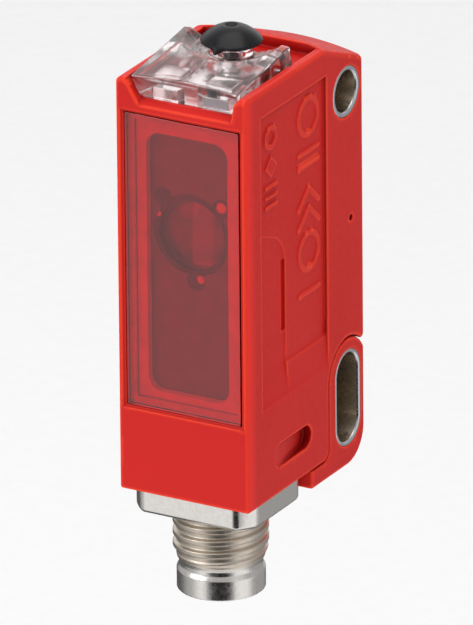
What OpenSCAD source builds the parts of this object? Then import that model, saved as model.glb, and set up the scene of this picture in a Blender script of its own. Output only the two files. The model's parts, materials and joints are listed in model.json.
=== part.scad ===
// Compact cubic photoelectric sensor with plug connector, retro-reflective type.
// Frame: origin at the centre of the upper mounting bore, halfway across the width.
// The light window faces -Y, +Z is up and the bores run along X.
// The modules are drawn from the middle of the front lower edge, and at_bore() moves them.

/* [Housing] */
// Width of the housing, side to side
body_w = 11.4; // [11.2:0.1:12]
// Depth of the housing, from the front face to the rear face
body_d = 18.3; // [18.1:0.1:18.6]
// Height of the housing at the crown of its rear hump
body_h = 34.2; // [34:0.1:34.6]
// Height of the two side rims beside the indicator cover
rim_h = 33.95; // [33.7:0.05:34]
// Rounding of the vertical edges
edge_r = 0.35; // [0.2:0.05:0.5]
// Thickness of the side walls
wall = 1.1; // [1:0.1:1.2]
// Rounding of the rear top corner
rear_top_r = 6; // [5:0.1:6]
// Radius of the crown across the top of the hump
crown_r = 26; // [22:1:40]
// Fall of the crown towards the rear, in degrees
crown_fall = 22; // [18:1:24]

/* [Mounting] */
// Distance between the two mounting positions
hole_pitch = 25.4; // [25.2:0.1:25.6]
// Distance from the front face to both mounting axes
hole_depth = 15.75; // [15.6:0.05:15.8]
// Height of the lower slot's centre above the housing's lower edge
slot_h = 3.98; // [3.9:0.02:4.1]
// Bore of both mounting sleeves, clearance for an M3 screw
sleeve_bore = 3.3; // [3.2:0.05:3.4]
// Outer diameter of the upper sleeve
sleeve_d = 4.1; // [4:0.05:4.3]
// Outer width of the slot sleeve
slot_sleeve_w = 3.95; // [3.9:0.05:4.1]
// Distance between the centres of the slot's two end arcs
slot_travel = 4; // [3.6:0.1:4]

/* [Foot] */
// How far the foot reaches below the housing
foot_drop = 1.64; // [1.5:0.02:1.8]
// Distance from the front face to the foot's front end
foot_front = 10; // [9.9:0.05:10.2]
// Width of the seam between the foot and the housing
seam = 0.12; // [0.1:0.01:0.15]

/* [Window] */
// Width of the window opening
window_w = 10.3; // [10.1:0.1:10.4]
// Height of the window opening
window_h = 24.35; // [24:0.05:24.4]
// Height of the window's lower edge above the housing's lower edge
window_z = 6.95; // [6.8:0.05:7]
// Gap round the window plate
window_gap = 0.15; // [0.15:0.01:0.25]

/* [Connector] */
// Diameter over the connector thread's flattened crests
thread_d = 7.5; // [7.4:0.05:7.9]
// Pitch of the connector's thread
thread_pitch = 1; // [0.9:0.05:1.1]
// Diameter of the smooth push-on end ring
ring_d = 6.9; // [6.8:0.05:7.1]
// Distance from the front face to the connector's axis
plug_y = 5.65; // [5.5:0.05:5.7]

/* [Button] */
// Diameter of the teach-in button's dome
button_d = 4.84; // [4.6:0.02:4.9]
// Travel of the teach-in button
button_travel = 0.3; // [0.2:0.05:0.3]

/* [Hidden] */

$fn = 64;
eps = 0.01;
half_w = body_w / 2;
bore_h = slot_h + hole_pitch;

// side relief
panel_front = 2.4;
panel_rear = 12.6;
panel_low = 7.6;
panel_ramp = 10.5;
panel_step = 11.6;
panel_top = 31.7;
panel_depth = 0.28;
tab_rear = 6.4;
tab_top = 21.95;
tab_side = 19.2;
tab_depth = 0.12;
tab_r = 1.8;
tab_groove = 0.45;
relief_h = 0.17;
pocket_r = 0.93;
pocket_z = 3.1;
pocket_depth = 0.7;

// top of the housing
hump_front = 12.4;
recess_half = 4.9;
recess_floor = 33.3;
ledge_front = 32;
ledge_rear = 32.3;
ledge_half = 3.6;
ledge_right = 4.35;

// indicator cover
cover_half = 4.65;
cover_front = 0.62;
cover_rear = 8.9;
cover_bottom = 32.32;
cover_edge_h = 34.1;
cover_crown = 0.3;
cover_rise = 8;
seal_low = 31.95;
button_y = 8;
button_rim_h = 35.43;
button_top_h = 36.55;
button_stem_r = 0.65;
dish_r = 6.5;
dish_floor = 33.9;
hub_r = 1.6;
hub_h = 34.8;

// foot
foot_boss_r = 2.95;
foot_boss_h = 5.95;
foot_heel_r = 2.65;
foot_crotch_r = 1;

// optics
lens_h = 21.4;
lens_r = 3;
plate_front = 0.12;
plate_back = 1;
ledge_y = 1.25;
bezel_back = 1.95;
carrier_front = 2;
carrier_back = 10.2;
carrier_low = 12;
carrier_high = 29.8;
split_y = 7.2;
split_room = 1.82;
retainer_back = 2.5;
ear_at = 3.7;
ear_r = 0.7;
ear_angles = [-85, 46, 132];

// cavity
cavity_back = 12;
cavity_low_back = 11.2;
cavity_low_top = 9.5;
cavity_top = 31.1;

// boards
board_t = 0.8;
board_x = -4.4;
top_board_h = 30.1;
plug_board_h = 3.6;

// connector
flange_h = 2;
flange_half = 5.4;
flange_front = 0.5;
flange_rear = 9.85;
flange_turned_r = 6.25;
flange_chamfer = 0.28;
core_r = 3.43;
groove_r = 3.22;
thread_top = -3;
thread_turns = 3;
plug_end = -9.1;
ring_h = 1.75;
socket_r = 2.75;
spigot_r = 3.3;
pin_r = 0.5;

module at_bore() { translate([0, -hole_depth, -bore_h]) children(); }
module along_x(x0, x1) { translate([x0, 0, 0]) rotate([90, 0, 90]) linear_extrude(x1 - x0) children(); }
module along_y(y0, y1) { translate([0, y1, 0]) rotate([90, 0, 0]) linear_extrude(y1 - y0) children(); }
module along_z(z0, z1) { translate([0, 0, z0]) linear_extrude(z1 - z0) children(); }
module rod_x(y, z, r, x0, x1) { translate([x0, y, z]) rotate([0, 90, 0]) cylinder(h = x1 - x0, r = r); }
module rod_y(x, z, r, y0, y1) { translate([x, y0, z]) rotate([-90, 0, 0]) cylinder(h = y1 - y0, r = r); }
module rod_z(x, y, r, z0, z1) { translate([x, y, z0]) cylinder(h = z1 - z0, r = r); }
module block(x0, x1, y0, y1, z0, z1) { translate([x0, y0, z0]) cube([x1 - x0, y1 - y0, z1 - z0]); }

// A rectangle from (u0, v0) to (u1, v1) with round corners
module round_rect(u0, v0, u1, v1, r) {
    translate([u0 + r, v0]) square([u1 - u0 - 2 * r, v1 - v0]);
    translate([u0, v0 + r]) square([u1 - u0, v1 - v0 - 2 * r]);
    for (u = [u0 + r, u1 - r], v = [v0 + r, v1 - r]) translate([u, v]) circle(r);
}

// A stadium with its end arcs at v0 and v1 on the line u
module stadium(u, v0, v1, r) {
    translate([u - r, v0]) square([2 * r, v1 - v0]);
    for (v = [v0, v1]) translate([u, v]) circle(r);
}

// Side view of the housing, in depth and height
module side_outline() {
    arc_y = body_d - rear_top_r;
    arc_h = body_h - rear_top_r;
    round_rect(0, 0, hump_front + 1, rim_h, edge_r);
    translate([hump_front, 0]) square([arc_y - hump_front, body_h]);
    translate([hump_front, 0]) square([body_d - hump_front, arc_h]);
    translate([arc_y, arc_h]) circle(rear_top_r, $fn = 96);
}

// Side view of the foot, grown by a gap
module foot_outline(gap = 0) {
    translate([hole_depth, foot_boss_h]) circle(foot_boss_r + gap, $fn = 96);
    heel_y = body_d - foot_heel_r;
    front_y = hole_depth - foot_boss_r - gap;
    translate([front_y, 0]) square([body_d - front_y + gap, foot_boss_h]);
    difference() {
        translate([foot_front - gap, -foot_drop]) square([body_d - foot_front, foot_crotch_r + foot_drop]);
        translate([0, -seam + gap]) square([front_y - foot_crotch_r, 2 * foot_drop]);
        translate([front_y - foot_crotch_r, foot_crotch_r - seam + gap]) circle(foot_crotch_r);
        translate([heel_y, -foot_drop - eps]) square([foot_heel_r + 1, foot_heel_r + eps]);
    }
    intersection() {
        translate([heel_y, foot_heel_r - foot_drop]) circle(foot_heel_r, $fn = 96);
        translate([heel_y - 1, -foot_drop]) square([foot_heel_r + 1, foot_heel_r]);
    }
}

// The crown that rounds the hump across its width and falls to the rear
module crown() {
    crown_y = 15.8;
    crown_h = 33.22;
    translate([0, crown_y, crown_h]) rotate([-crown_fall, 0, 0])
        translate([0, -40, -crown_r]) rotate([-90, 0, 0]) cylinder(h = 60, r = crown_r, $fn = 180);
}

// Front view of the cover's seat, slanted on the left and steep on the right
module seat_outline() {
    polygon([[-ledge_half, ledge_front], [ledge_right, ledge_front], [4.6, 33.4],
        [recess_half, 33.8], [recess_half, body_h + 1], [-recess_half, body_h + 1],
        [-recess_half, 33.8], [-4.5, 33.4]]);
}

// Recess panel in the right side face, with its ramped lower end
module side_panel_cut() {
    x_floor = half_w - panel_depth;
    along_y(panel_front, panel_rear) polygon([[half_w + 1, panel_low], [half_w, panel_low],
        [x_floor - 0.06, panel_ramp], [x_floor, panel_step], [x_floor, panel_top], [half_w + 1, panel_top]]);
    along_x(x_floor - tab_depth, half_w + 1) hull() {
        translate([panel_front, panel_ramp]) square([tab_rear - panel_front, 1]);
        translate([panel_front, tab_top - 0.1]) square(0.1);
        translate([tab_rear - tab_r, tab_side]) circle(tab_r);
    }
    along_y(panel_front, tab_rear) polygon([[half_w, panel_low], [x_floor - tab_depth, panel_ramp + eps],
        [half_w, panel_ramp + eps]]);
    block(x_floor - tab_groove, half_w, tab_rear - 0.4, tab_rear, 13, 18.8);
}

// Finger pocket low on the side face, its floor rising towards the front
module side_pocket_cut() {
    translate([half_w - pocket_depth, 9, 0]) rotate([0, 0, -8]) translate([0, -9, 0])
        along_x(0, 2) rotate(-90) stadium(-pocket_z, 5.1, 9, pocket_r);
}

// Plain relief of rings, bars and arrowheads on the panel floor
module side_relief() {
    mid_y = 10.1;
    x0 = half_w - panel_depth - eps;
    x1 = half_w - panel_depth + relief_h;
    along_x(x0, x1) {
        for (h = [29.3, 18.2]) translate([mid_y, h]) difference() {
            circle(1.75);
            circle(1.2);
        }
        for (h = [26.2, 25.1, 14.6]) translate([mid_y - 1.75, h]) square([3.5, 0.5]);
        for (h = [21.3, 22.9]) translate([mid_y, h]) polygon([[-1.75, -0.9], [0, 0.5], [1.75, -0.9],
            [1.75, -0.3], [0, 1.1], [-1.75, -0.3]]);
    }
}

// Small plain marks beside the relief
module side_marks() {
    mark_y = 4.2;
    along_x(half_w - panel_depth - eps, half_w - panel_depth + 0.16) {
        translate([mark_y, 29.6]) difference() {
            circle(1.05);
            circle(0.5);
        }
        translate([mark_y, 27.2]) circle(1.25, $fn = 4);
        for (h = [23.8, 24.6, 25.4]) translate([mark_y - 1, h]) square([2, 0.42]);
    }
}

module housing() {
    color([0.80, 0.13, 0.10]) at_bore() difference() {
        union() {
            difference() {
                intersection() {
                    along_z(-eps, body_h + 1) round_rect(-half_w, 0, half_w, body_d, edge_r);
                    along_x(-half_w, half_w) side_outline();
                    crown();
                }
                side_panel_cut();
                mirror([1, 0, 0]) side_panel_cut();
            }
            side_relief();
            mirror([1, 0, 0]) side_relief();
            side_marks();
        }
        side_pocket_cut();
        mirror([1, 0, 0]) side_pocket_cut();
        rod_x(16.4, 18.75, 0.28, half_w - 0.3, half_w + 1);
        housing_top_cut();
        housing_front_cut();
        housing_cavity();
        rod_x(hole_depth, bore_h, sleeve_d / 2, -half_w - 1, half_w + 1);
        along_x(-half_w - 1, half_w + 1) foot_outline(seam);
        along_x(-half_w - 1, half_w + 1) polygon([[body_d - 0.55, 8.05], [body_d + 0.1, 8.5],
            [body_d + 0.1, 7], [body_d - 0.55, 7]]);
        for (h = [3, 7]) rod_y(0, h, 0.7, cavity_low_back - 1, hole_depth);
        rod_z(0, plug_y, spigot_r + 0.05, -1, 2);
    }
}

module housing_top_cut() {
    along_y(-1, cover_front + 0.4) seat_outline();
    along_x(-recess_half, recess_half) polygon([[cover_front, 33.8], [cover_front, body_h + 1],
        [hump_front, body_h + 1], [hump_front, recess_floor], [9.4, recess_floor], [9.4, ledge_rear],
        [0.8, ledge_rear], [0.8, 33.8]]);
    along_x(-ledge_half, ledge_right) polygon([[-1, ledge_front], [0, ledge_front], [0.85, ledge_rear],
        [0.85, 33.8], [-1, 33.8]]);
    along_z(cavity_top - eps, body_h) round_rect(-4, 1.6, 4, 8.95, 0.5);
    along_z(seal_low, ledge_rear + eps) round_rect(-4.4, 1.3, 4.4, 9.3, 0.6);
}

module housing_front_cut() {
    window_top = window_z + window_h;
    block(-window_w / 2, window_w / 2, -1, ledge_y, window_z, window_top);
    block(-window_w / 2 + 0.7, window_w / 2 - 0.7, -1, 3, window_z + 0.7, window_top - 0.7);
}

module housing_cavity() {
    inner = half_w - wall;
    block(-inner, inner, 2, cavity_back, cavity_low_top - eps, cavity_top);
    block(-inner, inner, 2, cavity_low_back, 1.2, cavity_low_top);
}

module mounting_foot() {
    color([0.80, 0.13, 0.10]) at_bore() difference() {
        union() {
            intersection() {
                along_x(-half_w, half_w) foot_outline();
                along_z(-foot_drop - 1, body_h) round_rect(-half_w, foot_front, half_w, body_d, edge_r);
            }
            for (h = [3, 7]) rod_y(0, h, 0.62, cavity_low_back + 0.1, hole_depth - 2.2);
        }
        along_x(-half_w - 1, half_w + 1)
            stadium(hole_depth, slot_h - slot_travel / 2, slot_h + slot_travel / 2, slot_sleeve_w / 2);
    }
}

module upper_sleeve() {
    color([0.72, 0.72, 0.70]) at_bore() difference() {
        rod_x(hole_depth, bore_h, sleeve_d / 2, -half_w, half_w);
        rod_x(hole_depth, bore_h, sleeve_bore / 2, -half_w - 1, half_w + 1);
    }
}

module slot_sleeve() {
    low = slot_h - slot_travel / 2;
    high = slot_h + slot_travel / 2;
    color([0.72, 0.72, 0.70]) at_bore() along_x(-half_w, half_w) difference() {
        stadium(hole_depth, low, high, slot_sleeve_w / 2);
        stadium(hole_depth, low, high, sleeve_bore / 2);
    }
}

module front_window() {
    g = window_gap;
    color([0.30, 0.03, 0.05]) at_bore() along_y(plate_front, plate_back)
        round_rect(-window_w / 2 + g, window_z + g, window_w / 2 - g, window_z + window_h - g, 0.15);
}

module window_gasket() {
    g = window_gap + 0.03;
    color([0.12, 0.12, 0.13]) at_bore() along_y(plate_back, ledge_y) difference() {
        round_rect(-window_w / 2 + g, window_z + g, window_w / 2 - g, window_z + window_h - g, 0.15);
        round_rect(-window_w / 2 + 0.7, window_z + 0.7, window_w / 2 - 0.7, window_z + window_h - 0.7, 0.15);
    }
}

module inner_bezel() {
    low = window_z + 0.75;
    high = window_z + window_h - 0.75;
    color([0.75, 0.12, 0.12]) at_bore() along_y(ledge_y + 0.05, bezel_back) difference() {
        square_from(-4.4, low, 4.4, high);
        round_rect(-3.55, 8.3, 3.55, 29.6, 1.2);
    }
}

module square_from(u0, v0, u1, v1) { translate([u0, v0]) square([u1 - u0, v1 - v0]); }

module optics_carrier() {
    color([0.07, 0.07, 0.08]) at_bore() difference() {
        union() {
            block(-3.55, 4.4, carrier_front, carrier_back, carrier_low, carrier_high);
            block(-3.55, 4.4, carrier_front, carrier_front + 0.8, 8, carrier_low + eps);
        }
        rod_y(0, lens_h, lens_r + 0.05, carrier_front - 1, 4);
        along_y(carrier_front - 1, retainer_back + 0.02) retainer_outline(0.05);
        rod_y(0, lens_h, lens_r - 0.4, 3.9, split_y - split_room + 0.3);
        block(-2.5, 2.5, split_y - split_room, split_y + split_room, lens_h - split_room, lens_h + split_room);
        rod_y(0, lens_h, 1.35, split_y + split_room - 0.3, carrier_back + 1);
        rod_z(0, split_y, 1.35, lens_h + split_room - 0.3, 27.7);
        block(-1.6, 1.6, split_y - 1.55, split_y + 1.55, 27.6, carrier_high + 1);
    }
}

// Front view of the lens retainer with its three ears, grown by a gap
module retainer_outline(gap = 0) {
    translate([0, lens_h]) circle(lens_r + 0.24 + gap);
    for (a = ear_angles) translate([ear_at * cos(a), lens_h + ear_at * sin(a)]) circle(ear_r + gap);
}

module main_lens() {
    dome_r = 5;
    flat_y = 3.65;
    color([0.55, 0.20, 0.22]) at_bore() translate([0, flat_y, lens_h]) rotate([90, 0, 0]) intersection() {
        cylinder(h = 2, r = lens_r);
        translate([0, 0, 1.95 - dome_r]) sphere(dome_r, $fn = 96);
    }
}

module lens_retainer() {
    color([0.10, 0.10, 0.11]) at_bore() difference() {
        along_y(carrier_front, retainer_back) retainer_outline();
        rod_y(0, lens_h, lens_r - 0.15, 1, 5);
    }
}

module polarising_filter() {
    color([0.25, 0.10, 0.14]) at_bore() rod_y(0, lens_h, lens_r - 0.42, 4, 4.2);
}

module beam_splitter() {
    color([0.70, 0.72, 0.78]) at_bore() translate([0, split_y, lens_h]) rotate([45, 0, 0])
        cube([4.9, 4.7, 0.4], center = true);
}

module emitter_led() {
    color([0.85, 0.85, 0.80]) at_bore() {
        block(-0.9, 0.9, 9.75, 10.4, lens_h - 0.9, lens_h + 0.9);
        rod_y(0, lens_h, 0.6, 9.3, 9.75 + eps);
    }
}

module emitter_board() {
    color([0.05, 0.30, 0.15]) at_bore() block(-3.3, 3.3, 10.4, 10.9, 16, 27);
}

module light_receiver() {
    color([0.12, 0.12, 0.14]) at_bore() block(-1.1, 1.1, split_y - 1, split_y + 1, 28.1, 28.97);
}

module receiver_shield() {
    t = 0.15;
    color([0.75, 0.76, 0.78]) at_bore() difference() {
        block(-1.5, 1.5, split_y - 1.4, split_y + 1.4, 27.7, 28.97);
        block(-1.5 + t, 1.5 - t, split_y - 1.4 + t, split_y + 1.4 - t, 27.7 + t, 29);
        rod_z(0, split_y, 0.8, 27, 28.2);
    }
}

module receiver_board() {
    color([0.05, 0.30, 0.15]) at_bore() block(-1.55, 1.55, split_y - 1.5, split_y + 1.5, 28.97, 29.37);
}

module main_board() {
    color([0.05, 0.32, 0.16]) at_bore() block(board_x, board_x + board_t, 2.3, 11, plug_board_h + 0.05, 30);
}

module signal_chip() {
    color([0.10, 0.10, 0.10]) at_bore() block(board_x + board_t, board_x + board_t + 0.9, 3, 6, 7.6, 10.6);
}

module output_driver() {
    color([0.13, 0.13, 0.13]) at_bore() block(board_x + board_t, board_x + board_t + 0.8, 7.4, 9.8, 7.8, 10.4);
}

// Capacitors and resistors stand in short rows below the two chips
module board_capacitors() {
    color([0.55, 0.42, 0.28]) at_bore() for (y = [3.2, 5.2, 7.2, 9.2])
        block(board_x + board_t, board_x + board_t + 0.55, y, y + 1, 5.8, 6.4);
}

module board_resistors() {
    color([0.08, 0.08, 0.10]) at_bore() for (y = [3.2, 4.9, 6.6, 8.3])
        block(board_x + board_t, board_x + board_t + 0.35, y, y + 1, 4.7, 5.2);
}

module indicator_board() {
    color([0.05, 0.32, 0.16]) at_bore() block(-3.9, 3.9, 2.1, 11.4, top_board_h, top_board_h + 0.6);
}

module status_led(x) {
    base = top_board_h + 0.6;
    block(x - 0.8, x + 0.8, 2.5, 3.5, base, base + 0.6);
}
module status_led_green() { color([0.35, 0.85, 0.45]) at_bore() status_led(-2.2); }
module status_led_yellow() { color([0.95, 0.80, 0.25]) at_bore() status_led(2.2); }

module light_guides() {
    color([0.92, 0.88, 0.88]) at_bore() for (x = [-2.2, 2.2])
        block(x - 1.1, x + 1.1, 2.2, 3.8, top_board_h + 1.3, 33.1);
}

module tact_switch() {
    base = top_board_h + 0.6;
    color([0.20, 0.20, 0.21]) at_bore() difference() {
        block(-1.5, 1.5, button_y - 0.88, button_y + 0.88, base, base + 1.1);
        rod_z(0, button_y, 0.62, base + 0.4, base + 2);
    }
}

module switch_stem() {
    base = top_board_h + 0.6;
    color([0.85, 0.83, 0.78]) at_bore() rod_z(0, button_y, 0.55, base + 0.4 + button_travel + 0.05, base + 1.5);
}

module teach_button() {
    stem_low = top_board_h + 2.15;
    rim_low = button_rim_h - 0.25;
    dome_h = button_top_h - button_rim_h;
    rim_r = button_d / 2;
    dome_r = (rim_r * rim_r + dome_h * dome_h) / (2 * dome_h);
    color([0.10, 0.10, 0.11]) at_bore() translate([0, button_y, 0]) difference() {
        union() {
            intersection() {
                translate([0, 0, button_top_h - dome_r]) sphere(dome_r, $fn = 96);
                rod_z(0, 0, rim_r, rim_low, button_top_h + 1);
            }
            rod_z(0, 0, button_stem_r, stem_low, rim_low + eps);
            intersection() {
                along_x(-0.45, 0.45) polygon([[-rim_r - 0.25, 34.8], [-rim_r + 0.5, 34.8],
                    [-rim_r + 0.9, button_rim_h], [-rim_r + 0.02, button_rim_h]]);
                rod_z(0, 0, rim_r + 0.2, 30, 40);
            }
        }
        translate([0, 0, button_top_h + 1.1]) sphere(1.33);
    }
}

module button_seal() {
    color([0.16, 0.16, 0.17]) at_bore() translate([0, button_y, 33.4]) difference() {
        rotate_extrude() translate([0.95, 0]) circle(0.25);
        cylinder(h = 2, r = button_stem_r + 0.06, center = true);
    }
}

// Cross-section of the cover's roof, a shallow gable with bevelled shoulders
module cover_gable() {
    polygon([[-cover_half, -4], [-cover_half, -0.45], [-cover_half + 0.1, 0], [-cover_half + 0.45, 0.05],
        [0, cover_crown], [cover_half - 0.45, 0.05], [cover_half - 0.1, 0], [cover_half, -0.45],
        [cover_half, -4]]);
}

module indicator_cover() {
    color([0.88, 0.84, 0.84]) at_bore() difference() {
        intersection() {
            translate([0, cover_front, cover_edge_h]) rotate([cover_rise, 0, 0])
                along_y(-1, 12) cover_gable();
            along_x(-cover_half, cover_half) polygon([[cover_front + 0.25, cover_bottom],
                [cover_front, cover_edge_h - 0.2], [cover_front + 0.15, 37], [cover_rear - 0.2, 37],
                [cover_rear, 34.9], [9.3, 33.35], [9.3, cover_bottom]]);
            union() {
                along_y(0, 10) polygon([[-3.75, cover_bottom], [ledge_right - 0.1, cover_bottom], [4.62, 33.7],
                    [cover_half, 37], [-cover_half, 37], [-4.62, 33.7]]);
                block(-cover_half, cover_half, 1.2, 10, cover_bottom, 37);
            }
        }
        along_x(-3.6, 3.6) polygon([[1.7, cover_bottom - 1], [1.7, 33.3], [6, 33.95], [6, cover_bottom - 1]]);
        difference() {
            translate([0, button_y, dish_floor + dish_r]) sphere(dish_r, $fn = 96);
            rod_z(0, button_y, hub_r, 33, hub_h);
        }
        rod_z(0, button_y, button_stem_r + 0.08, cover_bottom - 1, 40);
        rod_z(0, button_y, 1.21, cover_bottom - 1, 33.7);
    }
}

module cover_seal() {
    color([0.14, 0.14, 0.15]) at_bore() along_z(seal_low, ledge_rear) difference() {
        round_rect(-4.4, 1.3, 4.4, 9.3, 0.6);
        round_rect(-4, 1.6, 4, 8.95, 0.5);
    }
}

// Outline of one half of the turned connector shell, as radius and height
module shell_profile() {
    low = thread_top - thread_turns * thread_pitch;
    crest = thread_d / 2;
    p = thread_pitch;
    difference() {
        union() {
            square_from(0, plug_end, groove_r, 0);
            square_from(0, low - 0.5, core_r, -flange_h + eps);
            for (i = [0:thread_turns - 1]) translate([0, thread_top - i * p]) polygon([[0, 0.38 * p],
                [core_r, 0.38 * p], [crest, 0.16 * p], [crest, -0.16 * p], [core_r, -0.38 * p], [0, -0.38 * p]]);
            polygon([[0, plug_end + ring_h + 0.25], [groove_r, plug_end + ring_h + 0.25],
                [ring_d / 2, plug_end + ring_h - 0.1], [ring_d / 2, plug_end + 0.15],
                [ring_d / 2 - 0.15, plug_end], [0, plug_end]]);
            square_from(0, -1, spigot_r, 1.9);
        }
        square_from(-1, plug_end - 1, socket_r, -3.6);
        square_from(-1, -3.61, 2.4, 3);
        translate([spigot_r + 0.2, 0.95]) circle(0.5);
    }
}

// Side view of the flange between u0 and u1, with its chamfered lower edges
module flange_outline(u0, u1) {
    c = flange_chamfer;
    polygon([[u0, 0], [u0, c - flange_h], [u0 + c, -flange_h], [u1 - c, -flange_h], [u1, c - flange_h], [u1, 0]]);
}

module connector_shell() {
    color([0.78, 0.76, 0.72]) at_bore() {
        translate([0, plug_y, 0]) rotate_extrude($fn = 96) shell_profile();
        difference() {
            intersection() {
                rod_z(0, (flange_front + flange_rear) / 2, flange_turned_r, -flange_h, 0);
                along_x(-flange_half, flange_half) flange_outline(flange_front, flange_rear);
                along_y(flange_front, flange_rear) flange_outline(-flange_half, flange_half);
            }
            rod_z(0, plug_y, groove_r - 0.3, -4, 1);
        }
    }
}

module connector_seal() {
    color([0.10, 0.10, 0.11]) at_bore() translate([0, plug_y, 0.95]) rotate_extrude($fn = 96)
        translate([spigot_r - 0.125, 0]) circle(0.17);
}

module contact_carrier() {
    color([0.08, 0.08, 0.09]) at_bore() difference() {
        union() {
            rod_z(0, plug_y, 2.38, -4.2, 2.95);
            rod_z(0, plug_y, socket_r - 0.02, -4.4, -3.65);
        }
        for (a = [45:90:315]) translate([0, plug_y, 0]) rotate(a) rod_z(1.45, 0, pin_r, -5, 4);
    }
}

module contact_pins() {
    color([0.85, 0.68, 0.30]) at_bore() for (a = [45:90:315]) translate([0, plug_y, 0]) rotate(a) {
        rod_z(1.45, 0, pin_r, -7.6, 4.6);
        translate([1.45, 0, -8.1]) cylinder(h = 0.5 + eps, r1 = 0.3, r2 = pin_r);
    }
}

module connector_board() {
    color([0.05, 0.32, 0.16]) at_bore() difference() {
        block(-4.4, 3.2, 2.3, 9.6, plug_board_h - 0.6, plug_board_h);
        for (a = [45:90:315]) translate([0, plug_y, 0]) rotate(a) rod_z(1.45, 0, pin_r, 2, 5);
    }
}

housing();
mounting_foot();
upper_sleeve();
slot_sleeve();
front_window();
window_gasket();
inner_bezel();
optics_carrier();
main_lens();
lens_retainer();
polarising_filter();
beam_splitter();
emitter_led();
emitter_board();
light_receiver();
receiver_shield();
receiver_board();
main_board();
signal_chip();
output_driver();
board_capacitors();
board_resistors();
indicator_board();
status_led_green();
status_led_yellow();
light_guides();
tact_switch();
switch_stem();
teach_button();
button_seal();
indicator_cover();
cover_seal();
connector_shell();
connector_seal();
contact_carrier();
contact_pins();
connector_board();
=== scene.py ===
import functools
import json
import math

import bmesh
import bpy
import numpy as np
from mathutils import Matrix, Vector


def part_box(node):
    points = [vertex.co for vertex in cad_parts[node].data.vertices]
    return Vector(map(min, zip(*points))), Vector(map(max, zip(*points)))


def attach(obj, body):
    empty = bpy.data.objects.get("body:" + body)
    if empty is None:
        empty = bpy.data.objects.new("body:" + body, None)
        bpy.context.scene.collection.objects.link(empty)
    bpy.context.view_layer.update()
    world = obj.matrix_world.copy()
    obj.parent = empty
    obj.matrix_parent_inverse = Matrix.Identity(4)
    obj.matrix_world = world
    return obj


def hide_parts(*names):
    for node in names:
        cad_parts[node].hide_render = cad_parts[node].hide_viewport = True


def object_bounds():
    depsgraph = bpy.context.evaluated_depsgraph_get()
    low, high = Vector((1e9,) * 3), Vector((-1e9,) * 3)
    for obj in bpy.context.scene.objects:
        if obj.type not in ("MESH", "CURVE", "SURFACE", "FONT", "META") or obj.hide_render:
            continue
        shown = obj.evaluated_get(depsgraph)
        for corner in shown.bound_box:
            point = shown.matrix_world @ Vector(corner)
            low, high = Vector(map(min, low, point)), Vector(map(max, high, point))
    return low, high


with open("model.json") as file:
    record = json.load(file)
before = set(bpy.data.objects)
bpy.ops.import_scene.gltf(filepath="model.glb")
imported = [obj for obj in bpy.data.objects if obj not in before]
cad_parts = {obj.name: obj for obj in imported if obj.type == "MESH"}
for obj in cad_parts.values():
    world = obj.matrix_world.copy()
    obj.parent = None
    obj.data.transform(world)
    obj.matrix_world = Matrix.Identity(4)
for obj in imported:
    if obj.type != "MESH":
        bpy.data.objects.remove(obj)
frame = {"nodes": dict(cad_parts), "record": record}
cad_box = [list(v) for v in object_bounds()]
nodes = frame["nodes"]
scene = bpy.context.scene
MM = 0.001

# ---------------------------------------------------------------- where things are
# Lengths below are in millimetres from the middle of the housing's front lower edge:
# x to the right, y to the rear and z up, seen from the front.
low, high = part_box("housing")
START = Vector(((low.x + high.x) / 2, low.y, low.z))


def at(x, y, z):
    return START + Vector((x, y, z)) * MM


def local(v):
    return (v - START) / MM


# The case: outside, rim in front of the cover, and the hump behind it
HALF = (high.x - low.x) / 2 / MM
DEEP = (high.y - low.y) / MM
TALL = (high.z - low.z) / MM
RIM = 33.95
HUMP_FRONT = 12.4
CROWN_Y, CROWN_Z, CROWN_R = 15.8, 33.22, 26
CROWN_TILT = math.radians(22)

# Side panel: its floor, its outline, the ramp at its lower end, the tab and the tab's groove
PANEL = HALF - 0.28
PANEL_FRONT, PANEL_REAR, PANEL_TOP = 2.4, 12.6, 31.7
PANEL_LOW, RAMP_TOP, PANEL_STEP = 7.6, 10.5, 11.6
TAB_FLOOR = PANEL - 0.12
TAB_REAR, TAB_TOP, TAB_R = 6.4, 21.95, 1.8
GROOVE_Y, GROOVE_Z = (5.98, 6.42), (13, 18.8)
GROOVE_FLOOR = PANEL - 0.32

# Relief and marks on the panel floor, the finger pocket below it, and the gate mark behind it
RELIEF_Y, MARKS_Y = 10.1, 4.2
POCKET_Y, POCKET_Z, POCKET_R = (5.1, 9.0), 3.1, 0.93
GATE_Y, GATE_Z, GATE_R = 16.4, 18.75, 0.26

# Mounting bore, lower slot, and the seam between case and foot
BORE_Y, BORE_Z, SLOT_Z = 15.75, 29.38, 3.98
BORE_R, SLOT_R, SLEEVE_R = 2.05, 1.975, 1.65
BOSS_R, BOSS_Z = 2.95, 5.95
SEAM = 0.12
PEG_HEIGHTS, PEG_R = (3, 7), 0.62
FOOT_LOW, HEEL_R = -1.64, 2.65

# Cover's seat and the recess round it, the window's opening, and the lens behind it
SEAT_Z, RECESS = 32.3, 4.9
OPENING, WINDOW_LOW, WINDOW_HIGH = 5.04, 7.05, 31.22
LENS_Z = 21.4

# Clear cover: its sides, the gable of its roof, the bowl round the button and the hub in the bowl
COVER_WIDE, COVER_LOW = 4.65, 32.32
ROOF_Z, ROOF_Y, ROOF_RISE, ROOF_PITCH = 34.13, 0.62, 0.32, math.radians(8)
BOWL_Z, BOWL_R = 40.4, 6.5
HUB_R, HUB_TOP, HUB_BORE = 1.7, 34.8, 0.73

# Button: dome, dimple, beak and stem
BUTTON_Y, BUTTON_R = 8.0, 2.42
DOME_Z, DOME_RISE = 35.36, 1.19
DIMPLE_Z, DIMPLE_R = 37.03, 0.76
BEAK_Z, BEAK_R, BEAK_ENDS = 35.32, 0.42, (1.76, 2.66)
STEM_R, STEM_LOW = 0.65, 32.25

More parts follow.
